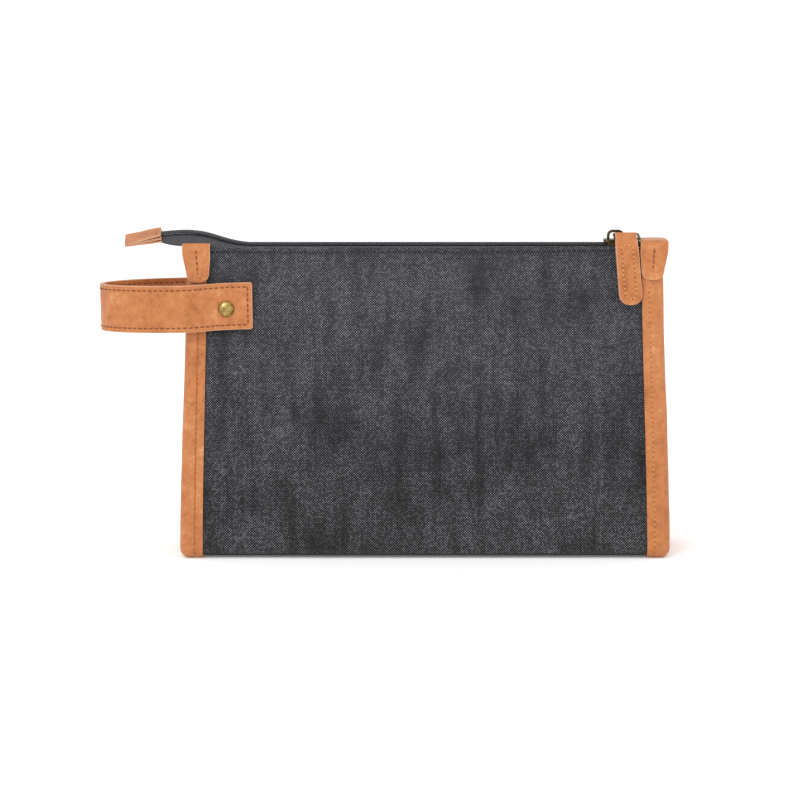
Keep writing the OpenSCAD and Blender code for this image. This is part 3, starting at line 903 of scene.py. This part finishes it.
def makeCoil(name, side, shift, replaced):
    thin = 0.3
    bpy.ops.mesh.primitive_torus_add(major_segments=10, minor_segments=4, major_radius=1, minor_radius=thin)
    loop = bpy.context.object
    wide = zipper["rowWidth"] / 2 - zipper["filament"]
    tall = zipper["rowHeight"] / 2 - zipper["filament"]
    for vertex in loop.data.vertices:
        flat = Vector((vertex.co.x, vertex.co.y)).length
        ring = Vector((vertex.co.x, vertex.co.y)) / flat
        swell = (flat - 1) / thin * zipper["filament"]
        lean = ring.y * zipper["lean"]
        vertex.co = Vector((vertex.co.z / thin * zipper["filament"] + lean,
                            ring.x * (wide + swell), ring.y * (tall + swell))) * mm
    loop.data.materials.append(finishes["coil"])
    count = int((zipper["end"] - zipper["coilEnd"]) / zipper["pitch"])
    places = []
    middle = zipper["inner"] + zipper["rowWidth"] / 2
    for i in range(count):
        x = zipper["end"] - (i + shift) * zipper["pitch"]
        slope = math.atan2(tailAt(x + 1, 1) - tailAt(x - 1, 1), 2)
        z = zipper["base"] + zipper["rowHeight"] / 2 + tailAt(x, 1)
        turn = Matrix.Rotation(-slope, 4, "Y")
        places.append(Matrix.Translation(Vector((x, side * middle, z)) * mm) @ turn)
    piece = repeated(name, loop, places)
    settle(piece, "bag", [], [replaced])

    # the cord inside the coil
    def place(u, v):
        x = lerp(zipper["coilEnd"], zipper["end"], u)
        rise = lerp(0.25, zipper["rowHeight"] - 0.3, v)
        return (x, side * middle, zipper["base"] + rise + tailAt(x, 1))

    cord = bentSheet(name + "Cord", 200, 2, place, (260, 2))
    thicken(cord, zipper["rowWidth"] * 0.62, 0.3)
    settle(cord, "bag", ["cord", "cord"])


makeTape("zipTapeFront", -1, "zip_tape_front")
makeTape("zipTapeBack", 1, "zip_tape_back")
makeCoil("coilFront", -1, 0.0, "zip_coil_front")
makeCoil("coilBack", 1, 0.5, "zip_coil_back")

endTab = {
    "start": (-138.4, 0.0, 167.4),
    "length": 19.2,
    "width": 13.0,
    "layer": 0.85,
    "innerLayer": 0.5,
    "foldHalf": 0.5,  # half the gap at the fold
    "mouthHalf": 1.75,  # and where the zip goes in
    "row": 2.4,  # stitches in from the mouth
    "rowHalf": 5,
    "tilt": 15.0,  # front edge down
    "slope": -9.5,  # free end down
}


endTabTurn = Matrix.Rotation(math.radians(endTab["slope"]), 3, "Y")
endTabTurn = endTabTurn @ Matrix.Rotation(math.radians(endTab["tilt"]), 3, "X")
endTabStart = Vector(endTab["start"])


# one leather layer folded round the end of the zip: the outer one opens to a mouth, the inner one fills it
def makeEndTabLayer(name, inner, radius, reach, thickness, replaced):
    flat = reach - radius
    arc = math.pi * (radius + 0.02)
    whole = 2 * flat + arc
    half = endTab["width"] / 2 + (0.25 if inner else 0)

    def place(u, v):
        d = v * whole
        if d < flat:
            x, z = -d, radius
        elif d < flat + arc:
            angle = math.pi * (d - flat) / arc
            x, z = -flat - radius * math.sin(angle), radius * math.cos(angle)
        else:
            x, z = -(whole - d), -radius
        if inner:
            z = (0.28 if d < whole / 2 else -0.28) * smooth(flat, flat * 0.4, -x)
        else:
            z *= lerp(endTab["mouthHalf"] / endTab["foldHalf"], 1, min(-x / flat, 1))
        bow = 0.5 * noise.noise(Vector((u * 2, v * 5, 7)))
        y = lerp(-half, half, u) * (1 - 0.07 * smooth(-6, 0, x)) + 0.3 * bow
        return endTabStart + endTabTurn @ Vector((x, y, z + bow * 0.5 - 0.03 * x * (u - 0.5)))

    piece = bentSheet(name, 16, 70, place, (endTab["width"], whole), 0.5)
    thicken(piece, thickness, 0.2)
    settle(piece, "bag", ["leather", "edge"], replaced)


def makeEndTab():
    reach = endTab["length"]
    makeEndTabLayer("zipEndTab", False, endTab["foldHalf"], reach, endTab["layer"], ["zip_end_tab"])
    makeEndTabLayer("zipEndTabInner", True, 0.05, reach - 1.7, endTab["innerLayer"], ())

    def spot(y):
        height = lerp(endTab["mouthHalf"], endTab["foldHalf"], 0.13) + endTab["layer"] / 2
        point = endTabStart + endTabTurn @ Vector((-endTab["row"], y, height))
        return point, endTabTurn @ Vector((0, 0, 1))

    places = stitchPlaces(spot, -endTab["rowHalf"], endTab["rowHalf"], 2.4)
    stitchRow("zipEndTabStitches", "bag", "thread", 1.6, places)


makeEndTab()
print("zip done")

# pull

pull = {
    "bar": (105.6, -9.547, 166.097),
    "foldR": 1.5,  # middle of the leather round the bar
    "layer": 1.15,
    "width": 12.0,
    "foldWidth": 11.0,
    "kneeZ": 161.0,
    "kneeY": -12.47,
    "endZ": 132.05,
    "endY": -17.1,
    "endR": 5.4,
    "rise": 1.4,  # how far the fold stands above the bar
    "shift": -0.9,  # of the fold to the left
    "swing": 2.7,  # the free end hangs this far to the right of the fold
    "yaw": 0.3,  # turned a little to show its left edge
    "row": 3.0,  # half width of the stitched oval
    "rowTop": 3.4,
    "rowLow": 32.2,
    "rowPitch": 2.35,
}


def pullLine(d):
    bar = Vector((0, pull["bar"][1], pull["bar"][2]))
    knee = Vector((0, pull["kneeY"], pull["kneeZ"]))
    end = Vector((0, pull["endY"], pull["endZ"]))
    first = (knee - bar).length
    if d < first:
        point = bar.lerp(knee, d / first)
    else:
        point = knee.lerp(end, (d - first) / (end - knee).length)
    return point, first + (end - knee).length


def pullSpot(d, out):
    point = (pullLine(d - 2)[0] + pullLine(d)[0] * 2 + pullLine(d + 2)[0]) / 4
    along = (pullLine(d + 2)[0] - pullLine(d - 2)[0]).normalized()
    normal = Vector((0, along.z, -along.y))
    return point + normal * out, normal


def pullX(d, across):
    return pull["bar"][0] + pull["shift"] + across + pull["swing"] * d / pullLine(0)[1]


def pullTurn(d, across):
    return across * pull["yaw"] * smooth(0, 10, d)


def makePull():
    reach = pullLine(0)[1]
    arc = math.pi * pull["foldR"]
    whole = 2 * reach + arc

    def halfWidth(d):
        wide = lerp(pull["foldWidth"], pull["width"], smooth(0, 7, d)) / 2
        left = reach - d
        if left < pull["endR"]:
            wide -= pull["endR"] - math.sqrt(max(pull["endR"] ** 2 - (pull["endR"] - left) ** 2, 0))
        return max(wide, 0.02)

    def place(u, v):
        # closer rows at the two rounded ends
        t = v - 0.06 * math.sin(2 * math.pi * v)
        d = t * whole
        across = 2 * u - 1
        if d < reach or d > reach + arc:
            front = d < reach
            down = reach - d if front else d - reach - arc
            spread = lerp(pull["foldR"], pull["layer"] / 2 + 0.03, smooth(0, 5.5, down))
            point, normal = pullSpot(down, 0)
            crown = 0.22 * (1 - across ** 4) * smooth(0, 4, reach - down)
            oval = bell(abs(across) * halfWidth(down), pull["row"], 0.7)
            oval *= smooth(6, 8, down) * (1 - smooth(32, 34, down))
            lift = spread + (crown - 0.28 * oval if front else 0)
            point += normal * (lift if front else -lift)
        else:
            down = 0
            angle = (d - reach) / pull["foldR"]
            along = (pullLine(2)[0] - pullLine(0)[0]).normalized()
            normal = Vector((0, along.z, -along.y))
            middle = Vector((0, pull["bar"][1], pull["bar"][2]))
            point = middle + (normal * math.cos(angle) - along * math.sin(angle)) * pull["foldR"]
            point.z += pull["rise"] * abs(math.sin(angle)) ** 0.6
        wide = across * halfWidth(down)
        return (pullX(down, wide), point.y + pullTurn(down, wide), point.z)

    piece = bentSheet("pullLeather", 22, 130, place, (pull["width"], whole), 0.6)
    thicken(piece, pull["layer"], 0.4)
    settle(piece, "zip_pull", ["leather", "edge"], ["leather_pull"])

    side = pull["rowLow"] - pull["rowTop"] - 2 * pull["row"]
    turn = math.pi * pull["row"]

    # t runs round the stitched oval from the top of its left side
    def spot(t):
        t %= 2 * side + 2 * turn
        if t < side:
            x, d = -pull["row"], pull["rowTop"] + pull["row"] + t
        elif t < side + turn:
            angle = (t - side) / pull["row"]
            x, d = -pull["row"] * math.cos(angle), pull["rowLow"] - pull["row"] * (1 - math.sin(angle))
        elif t < 2 * side + turn:
            x, d = pull["row"], pull["rowLow"] - pull["row"] - (t - side - turn)
        else:
            angle = (t - 2 * side - turn) / pull["row"]
            x = pull["row"] * math.cos(angle)
            d = pull["rowTop"] + pull["row"] * (1 - 0.75 * math.sin(angle))
        point, normal = pullSpot(d, pull["layer"] + 0.2)
        return Vector((pullX(d, x), point.y + pullTurn(d, x), point.z)), normal

    places = stitchPlaces(spot, 0, 2 * side + 2 * turn, pull["rowPitch"])
    stitchRow("pullStitches", "zip_pull", "goldThread", 1.5, places, 1.3)


makePull()
print("pull done")

# handle

strap = {
    "width": 24.5,
    "layer": 1.15,
    "rivet": (-103.9, 130.0),  # x and height
    "restY": 15.321,
    "rightEnd": -90.2,
    "bendX": -105.0,
    "bowX": -128.0,
    "bowHalf": 21.5,
    "tipX": -169.825,
    "tilt": math.radians(1.0),
    "cornerR": 0.9,
    "row": 2.4,  # stitches in from the edge
    "pitch": 2.9,
    "dent": 0.22,  # along the stitches
    "stitchOut": 1.2,
    "insideStart": 24,  # the bag hides the inside of the strap before this
    "lift": 0.75,  # its middle line above the rivet
    "endLift": 0.6,  # and that much more at the riveted ends
}


def strapStations():
    half = [(lerp(strap["rightEnd"], strap["bendX"], i / 8), strap["restY"], bag["lean"]) for i in range(8)]
    for i in range(31):
        t = i / 30
        ease = smooth(0, 1, t)
        half.append((lerp(strap["bendX"], strap["bowX"], t), lerp(strap["restY"], strap["bowHalf"], ease),
                     bag["lean"] * (1 - ease)))
    for i in range(1, 41):
        u = math.pi / 2 * i / 40
        half.append((lerp(strap["bowX"], strap["tipX"], math.sin(u)), strap["bowHalf"] * math.cos(u), 0))
    front = [(x, -y, lean) for x, y, lean in half]
    return front + half[-2::-1]


stations = strapStations()
marks = [0.0]
for first, second in zip(stations, stations[1:]):
    marks.append(marks[-1] + math.hypot(second[0] - first[0], second[1] - first[1]))
strapLength = marks[-1]


def strapAt(d):
    d = min(max(d, 0), strapLength)
    i = next((k for k in range(1, len(marks)) if marks[k] >= d), len(marks) - 1)
    t = (d - marks[i - 1]) / (marks[i] - marks[i - 1])
    return [lerp(stations[i - 1][k], stations[i][k], t) for k in range(3)]


# d along the strap from its front end, across up its width, out away from the loop's inside
def strapPoint(d, across, out):
    x, y, lean = strapAt(d)
    ahead, behind = strapAt(d + 0.6), strapAt(d - 0.6)
    along = Vector((ahead[0] - behind[0], ahead[1] - behind[1], 0)).normalized()
    flat = Vector((-along.y, along.x, 0))
    normal = flat * math.cos(lean) + Vector((0, 0, math.sin(lean)))
    up = -flat * math.sin(lean) + Vector((0, 0, math.cos(lean)))
    lift = strap["lift"] + strap["endLift"] * smooth(-124, strap["rightEnd"], x)
    point = Vector((x, y, 0)) + normal * out + up * (across + lift)
    turn = Matrix.Rotation(-strap["tilt"], 3, "Y")
    pivot = Vector((strap["rivet"][0], 0, 0))
    return pivot + Vector((0, 0, strap["rivet"][1])) + turn @ (point - pivot), turn @ normal


def makeStrapLayer(name, middle, replaced):
    def place(u, v):
        # closer stations at the two ends
        d = (v - 0.05 * math.sin(2 * math.pi * v) / math.pi * 2) * strapLength
        across = 2 * u - 1
        near = min(d, strapLength - d)
        half = strap["width"] / 2
        if near < strap["cornerR"]:
            bite = strap["cornerR"] - near
            half -= strap["cornerR"] - math.sqrt(max(strap["cornerR"] ** 2 - bite ** 2, 0))
        edge = strap["width"] / 2 - abs(across) * half
        dent = strap["dent"] * (bell(edge, strap["row"], 0.7) + bell(near, strap["row"], 0.7))
        soft = 0.1 * noise.noise(Vector((d / 9, across * 2, 11)))
        sign = 1 if middle > 0 else -1
        return strapPoint(d, across * half, middle - sign * dent * 0.8 + soft * 0.5)[0]

    piece = bentSheet(name, 44, 190, place, (strap["width"], strapLength), 0.7)
    thicken(piece, strap["layer"], 0.3)
    settle(piece, "handle", ["leather", "edge"], [replaced])


makeStrapLayer("handleOuter", 0.6, "handle_outer")
makeStrapLayer("handleInner", -0.6, "handle_inner")


# rows along both edges of one face, and across the ends on the outside
def makeStrapStitches(name, out, start, acrossEnds):
    sign = 1 if out > 0 else -1
    high = strap["width"] / 2 - strap["row"]
    end = strapLength - start

    def edgeSpot(height):
        def spot(d):
            point, normal = strapPoint(d, height, out)
            return point, normal * sign
        return spot

    def endSpot(d):
        def spot(height):
            point, normal = strapPoint(d, height, out)
            return point, normal * sign
        return spot

    places = stitchPlaces(edgeSpot(high), start, end, strap["pitch"])
    places += stitchPlaces(edgeSpot(-high), start, end, strap["pitch"])
    if acrossEnds:
        places += stitchPlaces(endSpot(start), -high, high, strap["pitch"])
        places += stitchPlaces(endSpot(end), -high, high, strap["pitch"])
    stitchRow(name, "handle", "brownThread", 1.6, places)


makeStrapStitches("handleStitches", strap["stitchOut"], strap["row"], True)
makeStrapStitches("handleStitchesInside", -strap["stitchOut"], strap["insideStart"], False)

rivet = {
    "radius": 4.3,
    "height": 2.2,
    "bead": 0.55,  # height of the round rim
    "step": 0.35,  # from the rim in to the dome
    "seat": 16.56,  # from the bag's middle to the underside of the cap
}


def makeRivet(name, side, replaced):
    out = Vector((0, side * math.cos(bag["lean"]), math.sin(bag["lean"])))
    right = Vector((1, 0, 0))
    up = out.cross(right)
    base = Vector((strap["rivet"][0], side * rivet["seat"], strap["rivet"][1]))
    bead = rivet["bead"] / 2
    dome = rivet["radius"] - rivet["step"]
    foot = rivet["bead"] * 0.8
    profile = [(0.0, 0.0), (rivet["radius"] - 0.1, 0.0)]
    for angle in (-1.2, -0.6, 0, 0.6, 1.2):
        profile.append((rivet["radius"] - 0.2 + 0.2 * math.cos(angle), bead + bead * math.sin(angle)))
    for i in range(11):
        angle = math.pi / 2 * i / 10
        profile.append((dome * math.cos(angle), foot + (rivet["height"] - foot) * math.sin(angle)))
    last = len(profile) - 1

    def place(u, v):
        radius, height = profile[round(v * last)]
        angle = 2 * math.pi * u
        return base + out * height + (right * math.cos(angle) + up * math.sin(angle)) * radius

    piece = bentSheet(name, 48, last, place)
    closeSeams(piece)
    smoothShade(piece, 50)
    settle(piece, "handle", ["brass"], [replaced])


makeRivet("rivetFront", -1, "front_rivet_cap")
makeRivet("rivetBack", 1, "back_rivet_cap")
print("handle done")

# CAD pieces that keep their shape

keptLooks = {
    "base_board": "board",
    "lining_front": "lining",
    "lining_back": "lining",
    "lining_base": "lining",
    "zip_top_stops": "bronze",
    "slider": "bronze",
    "pull_loop": "bronze",
    "front_rivet_post": "brass",
    "back_rivet_post": "brass",
}
for node, look in keptLooks.items():
    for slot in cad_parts[node].material_slots:
        slot.material = finishes[look]
print("kept pieces finished")
